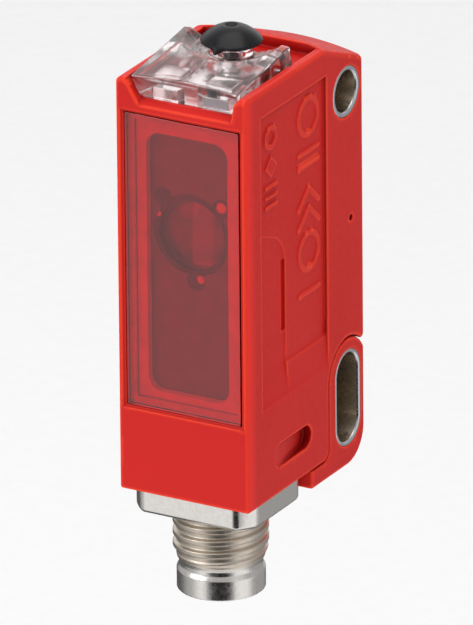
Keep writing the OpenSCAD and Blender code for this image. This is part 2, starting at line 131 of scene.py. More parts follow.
# Plug: flange, thread, neck, end ring, spigot in the case, and socket
PLUG_Y, PLUG_LOW = 5.65, -9.1
FLANGE_HALF, FLANGE_Y, FLANGE_H, FLANGE_R = 5.4, (0.5, 9.85), 2, 6.25
THREAD_R, THREAD_RISE, THREAD_END = 3.43, 0.3, -6.4
NECK_R, RING_R = 3.25, 3.45
SPIGOT_R, SPIGOT_TOP = 3.3, 1.9
SOCKET_R, SOCKET_END = 2.75, -3.6


# ---------------------------------------------------------------- materials
def socket(value):
    return value.outputs[0] if isinstance(value, bpy.types.Node) else value


class Mat:
    """A small builder for procedural materials on one Principled shader."""

    def __init__(self, name, **values):
        self.m = bpy.data.materials.new(name)
        self.m.use_nodes = True
        self.t = self.m.node_tree
        self.b = self.t.nodes["Principled BSDF"]
        self.out = self.t.nodes["Material Output"]
        self.coords = self.node("ShaderNodeTexCoord").outputs["Object"]
        self.axes = None
        for key, v in values.items():
            self.b.inputs[key.replace("_", " ")].default_value = v

    def node(self, kind, **values):
        n = self.t.nodes.new(kind)
        for key, v in values.items():
            setattr(n, key, v)
        return n

    def link(self, a, b):
        self.t.links.new(socket(a), b)

    def set(self, name, value):
        self.link(value, self.b.inputs[name])

    def stretched(self, sx, sy, sz):
        n = self.node("ShaderNodeMapping")
        n.inputs["Scale"].default_value = (sx, sy, sz)
        self.link(self.coords, n.inputs["Vector"])
        return n.outputs[0]

    def noise(self, size_mm, detail=3.0, rough=0.5, where=None):
        n = self.node("ShaderNodeTexNoise")
        n.inputs["Scale"].default_value = 1 / (size_mm * MM)
        n.inputs["Detail"].default_value = detail
        n.inputs["Roughness"].default_value = rough
        self.link(where or self.coords, n.inputs["Vector"])
        return n.outputs["Fac"]

    def ramp(self, fac, stops):
        n = self.node("ShaderNodeValToRGB")
        e = n.color_ramp.elements
        while len(e) < len(stops):
            e.new(0.5)
        for i, (p, c) in enumerate(stops):
            e[i].position = p
            e[i].color = (*c, 1.0)
        self.link(fac, n.inputs["Fac"])
        return n.outputs["Color"]

    def span(self, fac, low, high, from_low=0.0, from_high=1.0):
        n = self.node("ShaderNodeMapRange")
        for key, v in (("From Min", from_low), ("From Max", from_high), ("To Min", low), ("To Max", high)):
            n.inputs[key].default_value = v
        self.link(fac, n.inputs["Value"])
        return n.outputs["Result"]

    def mix(self, fac, a, b):
        n = self.node("ShaderNodeMix", data_type="RGBA")
        by_name = {i.identifier: i for i in n.inputs}
        for key, v in (("Factor_Float", fac), ("A_Color", a), ("B_Color", b)):
            if isinstance(v, tuple):
                by_name[key].default_value = (*v, 1.0)
            else:
                self.link(v, by_name[key])
        return [o for o in n.outputs if o.identifier == "Result_Color"][0]

    def math(self, op, *values):
        n = self.node("ShaderNodeMath", operation=op)
        for i, v in enumerate(values):
            if isinstance(v, (int, float)):
                n.inputs[i].default_value = v
            else:
                self.link(v, n.inputs[i])
        return n.outputs[0]

    def times(self, *factors):
        return functools.reduce(lambda a, b: self.math("MULTIPLY", a, b), factors)

    def axis(self, name):
        if self.axes is None:
            self.axes = self.node("ShaderNodeSeparateXYZ")
            self.link(self.coords, self.axes.inputs[0])
        return self.axes.outputs[name]

    def along(self, name, v0, v1):
        """0 on v0's side and 1 on v1's side of an axis, with a blend between them."""
        start = START["XYZ".index(name)]
        return self.span(self.axis(name), 0.0, 1.0, start + v0 * MM, start + v1 * MM)

    def aside(self, v0, v1):
        """The same for the distance from the middle plane."""
        return self.span(self.math("ABSOLUTE", self.axis("X")), 0.0, 1.0, v0 * MM, v1 * MM)

    def edges(self, low, high):
        """1 on outer edges, 0 on flats; the mask for painted highlights."""
        g = self.node("ShaderNodeNewGeometry")
        return self.span(g.outputs["Pointiness"], 0.0, 1.0, low, high)

    def nooks(self, reach, low, high, **how):
        """1 where other surfaces close in within reach, 0 in the open; the mask for painted shade."""
        n = self.node("ShaderNodeAmbientOcclusion", samples=6, **how)
        n.inputs["Distance"].default_value = reach * MM
        return self.span(n.outputs["AO"], 1.0, 0.0, low, high)

    def spots(self, *centres):
        """1 inside any of the round spots (x, y, z, radius)."""
        best = 0.0
        for x, y, z, r in centres:
            n = self.node("ShaderNodeVectorMath", operation="DISTANCE")
            self.link(self.coords, n.inputs[0])
            n.inputs[1].default_value = at(x, y, z)
            best = self.math("MAXIMUM", self.span(n.outputs["Value"], 1.0, 0.0, r * 0.7 * MM, r * MM), best)
        return best

    def bump(self, *layers):
        """layers are (height socket, depth, strength)."""
        last = None
        for height, depth, strength in layers:
            n = self.node("ShaderNodeBump")
            n.inputs["Strength"].default_value = strength
            n.inputs["Distance"].default_value = depth * MM
            self.link(height, n.inputs["Height"])
            if last is not None:
                self.link(last, n.inputs["Normal"])
            last = n.outputs["Normal"]
        self.link(last, self.b.inputs["Normal"])

    def let_lamps_through(self, tint):
        """Glass that lets the lamps' light through, tinted."""
        clear = self.node("ShaderNodeBsdfTransparent")
        clear.inputs["Color"].default_value = (*tint, 1.0)
        path = self.node("ShaderNodeLightPath")
        mix = self.node("ShaderNodeMixShader")
        self.link(path.outputs["Is Shadow Ray"], mix.inputs[0])
        self.link(self.b, mix.inputs[1])
        self.link(clear, mix.inputs[2])
        self.link(mix, self.out.inputs["Surface"])


def red_plastic():
    """Moulded plastic with painted highlights on its edges and front flanks, and painted shade, deeper red,
    in corners, hollows and the tab's groove.
    """
    m = Mat("red_plastic", IOR=1.5, Specular_IOR_Level=0.23)
    colour = m.ramp(m.noise(9.0, 3.0), [(0.3, (0.68, 0.010, 0.007)), (0.7, (0.73, 0.014, 0.010))])
    # painted highlight: brighter orange red on outer edges
    colour = m.mix(m.edges(0.5025, 0.535), colour, (1.0, 0.055, 0.018))
    # painted highlight: brighter red along the front of both sides
    flank_highlight = m.times(m.aside(HALF - 0.16, HALF - 0.02), m.along("Y", 1.4, 0.25))
    colour = m.mix(flank_highlight, colour, (1.0, 0.022, 0.012))
    # painted shade: deeper red in tight nooks, but none on the deck under the clear cover
    uncovered = m.math("SUBTRACT", 1.0, m.spots((0, 5.2, 32.6, 5.6)))
    colour = m.mix(m.times(m.nooks(0.5, 0.5, 0.95), uncovered), colour, (0.42, 0.0, 0.0))
    # painted shade: darker red in wide hollows
    colour = m.mix(m.nooks(3.0, 0.35, 0.9, only_local=True), colour, (0.25, 0.0, 0.0))
    # painted shade in the tab's groove, from its own edges inwards: a saturated red, lighter than the shade
    # painted in the nooks
    front, rear = GROOVE_Y
    bottom, top = GROOVE_Z
    in_groove = m.times(
        m.along("Y", front - 0.08, front - 0.02), m.along("Y", rear + 0.08, rear + 0.02),
        m.along("Z", bottom - 0.2, bottom), m.along("Z", top + 0.2, top),
        m.aside(PANEL - 0.14, PANEL - 0.2))
    m.set("Base Color", m.mix(in_groove, colour, (0.64, 0.0, 0.0)))
    m.set("Roughness", m.span(m.noise(0.5, 4.0, 0.6), 0.36, 0.5, 0.3, 0.7))
    m.bump((m.noise(0.09, 3.0, 0.6), 0.004, 0.35), (m.noise(2.6, 2.0), 0.02, 0.12))
    return m.m


def nickel(name, colour, rough):
    """Plated metal with faint spots and haze."""
    m = Mat(name, Metallic=1.0)
    hazy = tuple(c * 0.86 for c in colour)
    m.set("Base Color", m.mix(m.span(m.noise(2.2, 3.0), 0.0, 1.0, 0.35, 0.7), colour, hazy))
    m.set("Roughness", m.span(m.noise(0.35, 5.0, 0.65), rough - 0.07, rough + 0.1, 0.3, 0.7))
    m.bump((m.noise(0.22, 4.0, 0.7), 0.004, 0.5))
    return m.m


def turned_nickel():
    """Nickel with turning lines, duller and browner on the thread."""
    m = Mat("nickel_turned", Metallic=1.0)
    thread = m.times(m.along("Z", -6.7, -6.3), m.along("Z", -2, -2.2))
    m.set("Base Color", m.mix(thread, (0.82, 0.79, 0.755), (0.70, 0.62, 0.53)))
    rough = m.span(m.noise(0.35, 5.0, 0.65), 0.18, 0.34, 0.3, 0.7)
    m.set("Roughness", m.math("ADD", rough, m.times(thread, 0.13)))
    turning = m.noise(0.16, 2.0, 0.5, m.stretched(1.0, 1.0, 9.0))
    m.bump((turning, 0.004, 0.3), (m.noise(0.13, 4.0, 0.75), 0.007, 0.7))
    return m.m


def sleeve_metal():
    """Nickel with painted shade: darker and browner on the faces inside the bore than on the bright end
    faces.
    """
    m = Mat("nickel_sleeve", Metallic=1.0)
    facing = m.node("ShaderNodeSeparateXYZ")
    m.link(m.node("ShaderNodeNewGeometry").outputs["Normal"], facing.inputs[0])
    end = m.span(m.math("ABSOLUTE", facing.outputs["X"]), 0.0, 1.0, 0.25, 0.75)
    # painted shade: faces across the axis, inside the bore, get the darker brown
    m.set("Base Color", m.mix(end, (0.50, 0.43, 0.35), (0.66, 0.70, 0.76)))
    m.set("Roughness", m.span(m.noise(0.35, 4.0), 0.22, 0.36, 0.3, 0.7))
    m.bump((m.noise(0.3, 3.0), 0.003, 0.35))
    return m.m


def plain(name, colour, rough=0.5, grain=0.12, depth=0.004, change=0.12, metal=0.0, **more):
    """One colour with slight changes of tone and gloss, and a fine grain."""
    m = Mat(name, Metallic=metal, **more)
    dark = tuple(c * (1 - change) for c in colour)
    light = tuple(min(1.0, c * (1 + change)) for c in colour)
    m.set("Base Color", m.ramp(m.noise(1.4, 4.0), [(0.3, dark), (0.7, light)]))
    m.set("Roughness", m.span(m.noise(0.4, 3.0), max(0.02, rough - 0.06), rough + 0.06, 0.3, 0.7))
    m.bump((m.noise(grain, 3.0), depth, 0.4))
    return m.m


def clear(name, tint, rough, lamp_tint, ripple, **more):
    """Clear or tinted plastic with a slight ripple."""
    m = Mat(name, **{"Transmission_Weight": 1.0, "IOR": 1.49, **more})
    light = tuple(min(1.0, c * 1.04) for c in tint)
    m.set("Base Color", m.ramp(m.noise(5.0, 2.0), [(0.3, tint), (0.7, light)]))
    m.set("Roughness", m.span(m.noise(0.8, 3.0), rough * 0.6, rough * 1.5, 0.3, 0.7))
    m.bump((m.noise(1.8, 2.0), ripple, 0.25))
    m.let_lamps_through(lamp_tint)
    return m.m


def guides():
    """Light pipes: frosted white at the far left, smoky on the right."""
    m = Mat("guide_clear", IOR=1.49, Roughness=0.12)
    frosted = m.along("X", -2.1, -2.5)
    smoky = m.along("X", -0.2, 0.2)
    m.set("Base Color", m.mix(smoky, (0.97, 0.93, 0.93), (0.36, 0.38, 0.42)))
    m.set("Transmission Weight", m.span(m.math("MAXIMUM", frosted, m.times(smoky, 0.6)), 1.0, 0.1))
    m.bump((m.noise(0.8), 0.01, 0.3))
    return m.m


def retainer():
    """Black ring with painted highlights: red spots on three of its ears, where light catches them."""
    m = Mat("retainer_black", Roughness=0.45)
    ears = (2.6, 2, LENS_Z + 2.75, 0.5), (-2.95, 2, LENS_Z + 1.3, 0.3), (0.75, 2, LENS_Z - 3.5, 0.38)
    m.set("Base Color", m.mix(m.spots(*ears), (0.075, 0.07, 0.07), (0.95, 0.10, 0.08)))
    m.bump((m.noise(0.2), 0.004, 0.4))
    return m.m


def film():
    """Dark film with a painted highlight: a lighter band up its middle."""
    m = Mat("filter_film", Roughness=0.25)
    m.set("Base Color", m.mix(m.aside(0.85, 0.55), (0.13, 0.12, 0.12), (0.42, 0.25, 0.25)))
    m.bump((m.noise(1.0), 0.002, 0.2))
    return m.m


def circuit_board():
    """Green board with a pattern of tracks."""
    m = Mat("circuit_board")
    tracks = m.node("ShaderNodeTexBrick")
    tracks.inputs["Scale"].default_value = 900.0
    tracks.inputs["Mortar Size"].default_value = 0.03
    m.link(m.coords, tracks.inputs["Vector"])
    m.set("Base Color", m.mix(tracks.outputs["Fac"], (0.015, 0.16, 0.06), (0.03, 0.26, 0.10)))
    m.set("Roughness", m.span(m.noise(0.5), 0.28, 0.42, 0.3, 0.7))
    m.bump((tracks.outputs["Fac"], 0.02, 0.3))
    return m.m


RED = red_plastic()
TURNED = turned_nickel()
SLEEVE = sleeve_metal()
WINDOW = clear("window_red", (0.97, 0.05, 0.075), 0.01, (0.5, 0.01, 0.02), 0.001, IOR=1.64)
COVER = clear("cover_clear", (0.99, 0.88, 0.885), 0.12, (1.0, 0.9, 0.9), 0.006,
              Coat_Weight=0.35, Coat_Roughness=0.06)
LENS = clear("lens_clear", (0.95, 0.9, 0.9), 0.01, (0.95, 0.9, 0.9), 0.001)
GUIDE = guides()
BEZEL = plain("bezel_red", (0.95, 0.07, 0.06), 0.35)
GLUE = plain("gasket_red", (0.85, 0.12, 0.14), 0.5)
BLACK = plain("optics_black", (0.24, 0.25, 0.27), 0.5)
RING = retainer()
SMOKE = plain("board_red", (0.90, 0.14, 0.11), 0.4)
INSERT = plain("insert_black", (0.03, 0.03, 0.032), 0.42)
RUBBER = plain("seal_rubber", (0.03, 0.03, 0.032), 0.7, 0.2, 0.008)
BUTTON = plain("button_black", (0.011, 0.011, 0.013), 0.30, 0.14, 0.005, Specular_IOR_Level=0.26)
CHIP = plain("chip_black", (0.045, 0.045, 0.05), 0.55)
BOARD = circuit_board()
TIN = nickel("shield_tin", (0.76, 0.77, 0.79), 0.3)
GOLD = plain("contact_gold", (0.86, 0.60, 0.22), 0.22, metal=1.0)
TAN = plain("capacitor_tan", (0.45, 0.32, 0.20), 0.5)
DARK = plain("resistor_black", (0.05, 0.05, 0.06), 0.45)
PACKAGE = plain("led_package", (0.80, 0.80, 0.74), 0.35)
GREEN = plain("led_green", (0.84, 0.90, 0.86), 0.3)
YELLOW = plain("led_yellow", (0.30, 0.30, 0.32), 0.3)
NATURAL = plain("stem_natural", (0.80, 0.78, 0.70), 0.45)
FILM = film()
SPLITTER = plain("splitter_glass", (0.55, 0.58, 0.62), 0.08, metal=0.6)

LOOKS = {
    "housing": RED, "mounting_foot": RED, "upper_sleeve": SLEEVE, "slot_sleeve": SLEEVE,
    "front_window": WINDOW, "window_gasket": GLUE, "inner_bezel": BEZEL, "optics_carrier": BLACK,
    "main_lens": LENS, "lens_retainer": RING, "polarising_filter": FILM, "beam_splitter": SPLITTER,
    "emitter_led": PACKAGE, "emitter_board": BOARD, "light_receiver": CHIP, "receiver_shield": TIN,
    "receiver_board": BOARD, "main_board": BOARD, "signal_chip": CHIP, "output_driver": CHIP,
    "board_capacitors": TAN, "board_resistors": DARK, "indicator_board": SMOKE,
    "status_led_green": GREEN, "status_led_yellow": YELLOW, "light_guides": GUIDE,
    "tact_switch": CHIP, "switch_stem": NATURAL, "teach_button": BUTTON, "button_seal": RUBBER,
    "indicator_cover": COVER, "cover_seal": RUBBER, "connector_shell": TURNED,
    "connector_seal": RUBBER, "contact_carrier": INSERT, "contact_pins": GOLD, "connector_board": BOARD,
}
for name, material in LOOKS.items():
    o = nodes[name]
    o.data.materials.clear()
    o.data.materials.append(material)
BODY_OF = {n: b for b, members in frame["record"]["behaviour"]["bodies"].items() for n in members}


# ---------------------------------------------------------------- mesh pieces
def placed(name, mesh, replaced):
    """Puts a mesh in the scene in place of CAD nodes."""
    o = bpy.data.objects.new(name, mesh)
    scene.collection.objects.link(o)
    o.data.materials.append(LOOKS[replaced[0]])
    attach(o, BODY_OF[replaced[0]])
    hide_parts(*replaced)


# Moulded pieces are distance fields, negative inside, skinned on a grid that is fine where detail is.
def common(*d):
    """The common part of shapes, with sharp edges."""
    return functools.reduce(np.maximum, d)


def meet(r, *d):
    """The common part of shapes, with edges rounded by r."""
    round_part = np.sqrt(sum(np.maximum(v + r, 0) ** 2 for v in d))
    return np.minimum(-r, common(*d)) + round_part


def join(r, a, b):
    """Two shapes together, with a fillet of r between them."""
    return np.maximum(r, np.minimum(a, b)) - np.hypot(np.maximum(r - a, 0), np.maximum(r - b, 0))


def cut(r, a, b):
    """Shape a without shape b, with the new edges rounded by r."""
    return meet(r, a, -b)


def slab(v, v0, v1):
    return np.maximum(v0 - v, v - v1)


def rod(u, v, u0, v0, r):
    return np.hypot(u - u0, v - v0) - r


def bar(u, v, u0, v0, u1, v1, r):
    """A straight bar with round ends from (u0, v0) to (u1, v1)."""
    du, dv = u1 - u0, v1 - v0
    t = np.clip(((u - u0) * du + (v - v0) * dv) / (du * du + dv * dv), 0, 1)
    return np.hypot(u - u0 - t * du, v - v0 - t * dv) - r


def lines(*stops):
    """Grid lines through (place, spacing) stops; each spacing holds up to the next stop."""
    out = []
    for (p0, step), (p1, _) in zip(stops, stops[1:]):
        n = max(1, round((p1 - p0) / step))
        out += [p0 + (p1 - p0) * i / n for i in range(n)]
    return np.array(out + [stops[-1][0]], dtype=np.float32)


def both_ways(*stops):
    """The same grid lines on both sides of the middle plane."""
    half = lines(*stops)
    return np.concatenate([-half[:0:-1], half])


def skin(field, xs, ys, zs):
    """A closed mesh on the field's zero surface: one point in each grid cell that the surface crosses."""
    d = field(xs[:, None, None], ys[None, :, None], zs[None, None, :]).astype(np.float32)
    axes = (xs, ys, zs)
    cells = tuple(n - 1 for n in d.shape)
    count = np.zeros(cells, np.float32)
    total = [np.zeros(cells, np.float32) for _ in range(3)]
    crossings = []
    # each cell's point is the mean of the places where its edges cross the surface
    for axis in range(3):
        a = np.moveaxis(d, axis, 0)
        a, b = a[:-1], a[1:]
        crossed = (a < 0) != (b < 0)
        crossings.append((crossed, a < 0))
        share = np.where(crossed, a / np.where(crossed, a - b, 1), 0)
        along = (axes[axis][:-1, None, None] + share * np.diff(axes[axis])[:, None, None]) * crossed
        others = [i for i in range(3) if i != axis]
        for p in (0, 1):
            for q in (0, 1):
                part = (slice(None), slice(p, p + cells[others[0]]), slice(q, q + cells[others[1]]))
                hit = crossed[part]
                count += np.moveaxis(hit, 0, axis)
                total[axis] += np.moveaxis(along[part], 0, axis)
                u = axes[others[0]][p:p + cells[others[0]]][None, :, None]
                v = axes[others[1]][q:q + cells[others[1]]][None, None, :]
                total[others[0]] += np.moveaxis(hit * u, 0, axis)
                total[others[1]] += np.moveaxis(hit * v, 0, axis)
    live = count > 0
    number = np.full(cells, -1, np.int64)
    number[live] = np.arange(live.sum())
    points = np.stack([(t[live] / count[live]) for t in total], axis=1)
    # each crossed grid edge gives a face between the four cells round it
    faces = []
    for axis in range(3):
        crossed, inside = crossings[axis]
        i, j, k = np.nonzero(crossed[:, 1:-1, 1:-1])
        n = np.moveaxis(number, axis, 0)
        quad = np.stack([n[i, j, k], n[i, j + 1, k], n[i, j + 1, k + 1], n[i, j, k + 1]], axis=1)
        turn = inside[i, j + 1, k + 1] ^ (axis == 1)
        quad[~turn] = quad[~turn][:, ::-1]
        faces.append(quad)
    return points, np.concatenate(faces)


def moulded(name, replaced, field, xs, ys, zs):
    """A smooth mesh piece on a field."""
    points, quads = skin(field, xs, ys, zs)
    mesh = bpy.data.meshes.new(name)
    mesh.vertices.add(len(points))
    mesh.vertices.foreach_set("co", (points * MM + np.array(START)).astype(np.float32).ravel())
    mesh.loops.add(quads.size)
    mesh.loops.foreach_set("vertex_index", quads.ravel().astype(np.int32))
    mesh.polygons.add(len(quads))
    mesh.polygons.foreach_set("loop_start", np.arange(0, quads.size, 4, dtype=np.int32))
    mesh.update(calc_edges=True)
    mesh.validate()
    mesh.shade_smooth()
    placed(name, mesh, replaced)


# ---------------------------------------------------------------- the case
def outer_shape(x, y, z):
    """Flat sides that soften towards the front, a flat rim, and a domed hump at the rear top."""
    hump = meet(0.12, meet(6, y - DEEP, z - TALL), HUMP_FRONT - y)
    across = (y - CROWN_Y) * math.sin(CROWN_TILT) + (z - CROWN_Z) * math.cos(CROWN_TILT)
    crown = np.hypot(x, across + CROWN_R) - CROWN_R
    top = np.maximum(np.minimum(z - RIM, hump), crown)
    softness = np.where(x > 0, 0.05, 0.02)
    side = abs(x) - HALF + softness * np.maximum(0, 1 - y / 1.15) ** 2
    return meet(0.36, meet(0.2, side, slab(y, 0, DEEP)), top)


def with_panels(d, a, y, z):
    """Side panels with a ramped lower end, the tab in the front of each, and the tab's groove."""
    ramp = (0, PANEL_LOW, 8, 10.3, RAMP_TOP, PANEL_STEP)
    floor = np.interp(z, ramp, (HALF + 0.9, HALF, HALF - 0.09, HALF - 0.2, PANEL - 0.04, PANEL))
    d = cut(0.07, d, common(floor - a, slab(y, PANEL_FRONT, PANEL_REAR), z - PANEL_TOP))
    # the tab's upper edge falls towards the rear, by 20 degrees
    floor = np.interp(z, (0, PANEL_LOW, 8, RAMP_TOP), (HALF + 0.9, HALF, HALF - 0.12, TAB_FLOOR))
    corner = meet(TAB_R, y - TAB_REAR, 0.94 * (z - TAB_TOP) + 0.34 * (y - 2.3))
    d = cut(0.05, d, common(floor - a, PANEL_FRONT - y, corner))
    d = cut(0.05, d, common(GROOVE_FLOOR - a, slab(y, *GROOVE_Y), slab(z, *GROOVE_Z)))
    # a fine line down the panel's front edge
    line = common(slab(y, PANEL_FRONT, PANEL_FRONT + 0.16), slab(z, 10, PANEL_TOP))
    return cut(0.03, d, np.maximum(PANEL - 0.14 - a, line))


def relief(a, y, z):
    """Plain rings, bars and arrowheads on the panel floor."""
    shape = abs(rod(y, z, RELIEF_Y, 29.3, 1.475)) - 0.27
    shape = np.minimum(shape, abs(rod(y, z, RELIEF_Y, 18.2, 1.475)) - 0.27)
    for h in (26.45, 25.35, 14.85):
        shape = np.minimum(shape, bar(y, z, RELIEF_Y - 1.5, h, RELIEF_Y + 1.5, h, 0.25))
    for h in (21.0, 22.6):
        for side in (-1.55, 1.55):
            shape = np.minimum(shape, bar(y, z, RELIEF_Y + side, h - 0.6, RELIEF_Y, h + 0.8, 0.27))
    return meet(0.08, shape, a - PANEL - 0.13, PANEL - 0.5 - a)


def marks(x, y, z):
    """Small plain marks beside the relief, on the right side only: a ring, a diamond and three bars."""
    shape = abs(rod(y, z, MARKS_Y, 29.6, 0.78)) - 0.24
    shape = np.minimum(shape, abs(y - MARKS_Y) + abs(z - 27.2) - 0.95)
    for h in (24.0, 24.8, 25.6):
        shape = np.minimum(shape, bar(y, z, MARKS_Y - 0.8, h, MARKS_Y + 0.8, h, 0.2))
    return meet(0.06, shape, x - PANEL - 0.16, PANEL - 0.5 - x)


def with_pockets(d, x, a, y, z):
    """The finger pocket low on each side, deeper at the rear, and the gate mark on the right."""
    front, rear = POCKET_Y
    pocket_floor = HALF - 0.7 + (rear - y) * 0.14
    d = cut(0.09, d, np.maximum(pocket_floor - a, bar(y, z, front, POCKET_Z, rear, POCKET_Z, POCKET_R)))
    return cut(0.07, d, np.maximum(HALF - 0.3 - x, rod(y, z, GATE_Y, GATE_Z, GATE_R)))


def with_seat(d, x, a, y, z):
    """The cover's seat, slanted on the left and steep on the right, and the recess behind it."""
    levels = (32, 33.4, 33.8)
    left, right = np.interp(z, levels, (3.6, 4.5, RECESS)), np.interp(z, levels, (4.35, 4.6, RECESS))
    wide = np.where(x < 0, left, right)
    d = cut(0.12, d, common(a - wide, y - 2, np.interp(y, (0, 0.85), (32, SEAT_Z)) - z))
    deck = np.where(y < 9.4, SEAT_Z, SEAT_Z + 1)
    return cut(0.1, d, common(a - RECESS, slab(y, 0.9, HUMP_FRONT), deck - z))


def with_rooms(d, a, y, z):
    """The window's opening in three steps, and the rooms for the optics and the boards."""
    d = cut(0.08, d, common(a - (OPENING + 0.22), slab(z, WINDOW_LOW - 0.17, WINDOW_HIGH + 0.15), y - 0.16))
    d = cut(0.02, d, common(a - OPENING, slab(z, WINDOW_LOW, WINDOW_HIGH), y - 1.25))
    d = cut(0.05, d, common(a - 4.45, slab(z, WINDOW_LOW + 0.6, 30.6), y - 3))
    d = cut(0.02, d, common(a - (HALF - 1.1), slab(z, 1.2, 31.1), slab(y, 2, np.where(z < 9.5, 11.2, 12))))
    d = cut(0.02, d, common(a - 4, slab(y, 1.6, 8.95), slab(z, 31, 33)))
    return cut(0.02, d, common(a - 4.4, slab(y, 1.3, 9.3), slab(z, 31.95, 33)))


def foot_side(y, z):
    """Side view of the foot's upper and front edges."""
    boss = np.minimum(rod(y, z, BORE_Y, BOSS_Z, BOSS_R), np.maximum(BORE_Y - BOSS_R - y, z - BOSS_Z))
    return join(1.0, boss, z + SEAM)


def with_mounts(d, x, y, z):
    """The bore, the seam round the foot, its notch at the rear, the foot's pegs and the plug's seat."""
    d = cut(0.08, d, rod(y, z, BORE_Y, BORE_Z, BORE_R))
    d = cut(0.11, d, foot_side(y, z) - SEAM)
    d = cut(0.08, d, common(17.75 - y, 7 - z, z - 8.05 - (y - 17.75) * 0.69))
    for h in PEG_HEIGHTS:
        d = cut(0.02, d, np.maximum(rod(x, z, 0, h, PEG_R + 0.08), slab(y, 10, 14)))
    return cut(0.05, d, np.maximum(rod(x, y, 0, PLUG_Y, 3.35), z - 2))


def case_field(x, y, z):
    a = abs(x)
    d = with_panels(outer_shape(x, y, z), a, y, z)
    d = np.minimum(d, relief(a, y, z))
    d = np.minimum(d, marks(x, y, z))
    d = with_pockets(d, x, a, y, z)
    d = with_seat(d, x, a, y, z)
    d = with_rooms(d, a, y, z)
    return with_mounts(d, x, y, z)


moulded("case", ["housing"], case_field,
        both_ways((0, 0.35), (3.3, 0.15), (4.3, 0.1), (4.8, 0.075), (5.73, 0.05), (5.78, 0.05)),
        lines((-0.08, 0.08), (1.36, 0.15), (2.3, 0.06), (2.7, 0.11), (6.6, 0.2), (8, 0.11), (12.8, 0.12),
              (18.44, 0.1)),
        lines((-0.09, 0.09), (0.4, 0.2), (2, 0.1), (4.3, 0.16), (6.75, 0.06), (7.2, 0.16), (13, 0.13),
              (31, 0.06), (31.5, 0.09), (34.35, 0.1)))


# ---------------------------------------------------------------- the foot
def foot_field(x, y, z):
    heel = meet(HEEL_R, y - DEEP, FOOT_LOW - z)
    d = meet(0.12, np.maximum(foot_side(y, z), 10 - y), heel)
    d = meet(0.22, d, abs(x) - HALF)
    d = cut(0.07, d, bar(y, z, BORE_Y, SLOT_Z - 2, BORE_Y, SLOT_Z + 2, SLOT_R))
    for h in PEG_HEIGHTS:
        d = np.minimum(d, np.maximum(rod(x, z, 0, h, PEG_R), slab(y, 11.3, 13.5)))
    return d


moulded("foot", ["mounting_foot"], foot_field,
        both_ways((0, 0.35), (4.9, 0.2), (5.3, 0.07), (5.73, 0.05), (5.78, 0.05)),
        lines((9.85, 0.09), (18.44, 0.1)), lines((-1.75, 0.09), (9.05, 0.1)))


# ---------------------------------------------------------------- the clear cover
def cover_field(x, y, z):
    """A low gable rising to the rear, with a bowl and a hub round the button."""
    a = abs(x)
    # outside: slanted on the left and steep on the right, with a fine line along the ridge
    levels = (SEAT_Z, 33.7, 34.2)
    left, right = np.interp(z, levels, (3.75, 4.6, COVER_WIDE)), np.interp(z, levels, (4.25, 4.6, COVER_WIDE))
    wide = np.where(y < 1.2, np.where(x < 0, left, right), COVER_WIDE)
    front = 0.87 - (z - COVER_LOW) * 0.16 - y
    back = y - np.interp(z, (SEAT_Z, 33.35, 34.9, 37), (9.3, 9.3, 8.9, 8.7))
    d = meet(0.06, a - wide, front, back, COVER_LOW - z)
    ridge_line = 0.07 * np.exp(-(x / 0.07) ** 2)
    gable = ROOF_RISE * (1 - (a / 4.4) ** 1.25)
    roof = z - ROOF_Z - (y - ROOF_Y) * math.tan(ROOF_PITCH) - gable + ridge_line
    d = meet(0.12, d, roof)
    # bowl with two fine rings, the hub, and the rooms below for the guides and the button's seal
    out = np.hypot(x, y - BUTTON_Y)
    rings = sum(0.06 * np.exp(-((out - r) / 0.13) ** 2) for r in (2.3, 2.85))
    d = cut(0.08, d, np.sqrt(out ** 2 + (z - BOWL_Z) ** 2) - BOWL_R + rings)
    d = join(0.3, d, meet(0.12, out - HUB_R + (z - 34.3) * 0.3, z - HUB_TOP, 33 - z))
    d = cut(0.05, d, out - HUB_BORE)
    d = cut(0.03, d, meet(0.05, abs(a - 2.2) - 1.15, slab(y, 2.12, 3.88), z - 33.18))
    return cut(0.05, d, np.maximum(out - 1.21, z - 33.7))


moulded("cover", ["indicator_cover"], cover_field, both_ways((0, 0.035), (0.2, 0.08), (4.72, 0.05)),
        lines((0.5, 0.08), (9.42, 0.1)), lines((32.25, 0.06), (36.2, 0.1)))


# ---------------------------------------------------------------- the button
def button_field(x, y, z):
    """A wide dome with a dimple, a beak that points to the front, and the stem below."""
    out = np.hypot(x, y - BUTTON_Y)
    share = np.minimum(out / BUTTON_R, 1)
    dome = (z - DOME_Z - DOME_RISE * (1 - share ** 2.25)) / np.sqrt(1 + (1.1 * share) ** 2)
    under = (35.2 + (BUTTON_R - out) * 0.12) - z
    d = meet(0.09, dome, under, out - BUTTON_R)
    forward = BUTTON_Y - y
    slope = np.clip((forward - 1.7) / 0.95, 0, 1)
    beak = np.hypot(x * 0.8, z - BEAK_Z + 0.34 * slope) - (BEAK_R - 0.3 * slope)
    d = join(0.3, d, meet(0.08, beak, slab(forward, *BEAK_ENDS)))
    d = cut(0.08, d, np.sqrt(out ** 2 + (z - DIMPLE_Z) ** 2) - DIMPLE_R)
    stem = np.maximum(out - STEM_R, slab(z, STEM_LOW, 35.4))
    return join(0.15, d, stem)


moulded("button", ["teach_button"], button_field, both_ways((0, 0.06), (2.52, 0.1)),
        lines((5.2, 0.06), (10.56, 0.1)), lines((32.17, 0.16), (34.6, 0.05), (36.65, 0.1)))


